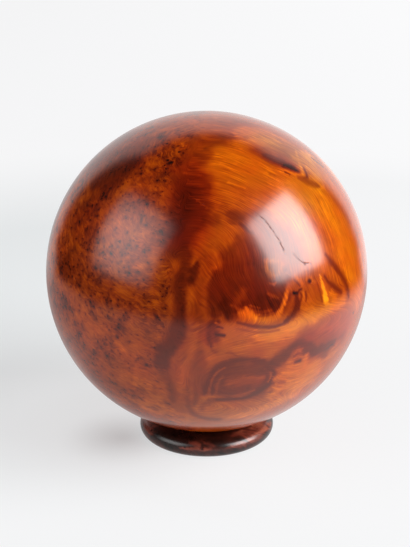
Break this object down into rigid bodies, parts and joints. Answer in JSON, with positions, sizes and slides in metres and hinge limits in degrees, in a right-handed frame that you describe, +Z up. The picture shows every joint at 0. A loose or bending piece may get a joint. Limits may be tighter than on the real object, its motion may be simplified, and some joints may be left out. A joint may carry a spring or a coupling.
{
  "type": "wooden ball",
  "caption": "Polished solid burl wood ball that rests in the seat of a turned wooden ring stand with a rounded bead.",
  "frame": {"origin": "middle of the ring stand's flat foot, on the surface it stands on", "axes": "+Z up, along the ring's axis and through the ball's centre; -Y is the front, with the bright figured side of the ball"},
  "size_m": [0.15, 0.15, 0.1567],
  "materials": {
    "burl_ball": "orange-brown burl with dark eyes, waxed and polished to a soft gloss",
    "burl_ring": "dark brown burl with orange flecks, polished"
  },
  "bodies": {
    "root": {"ball": "burl_ball", "ring_stand": "burl_ring"}
  },
  "joints": []
}
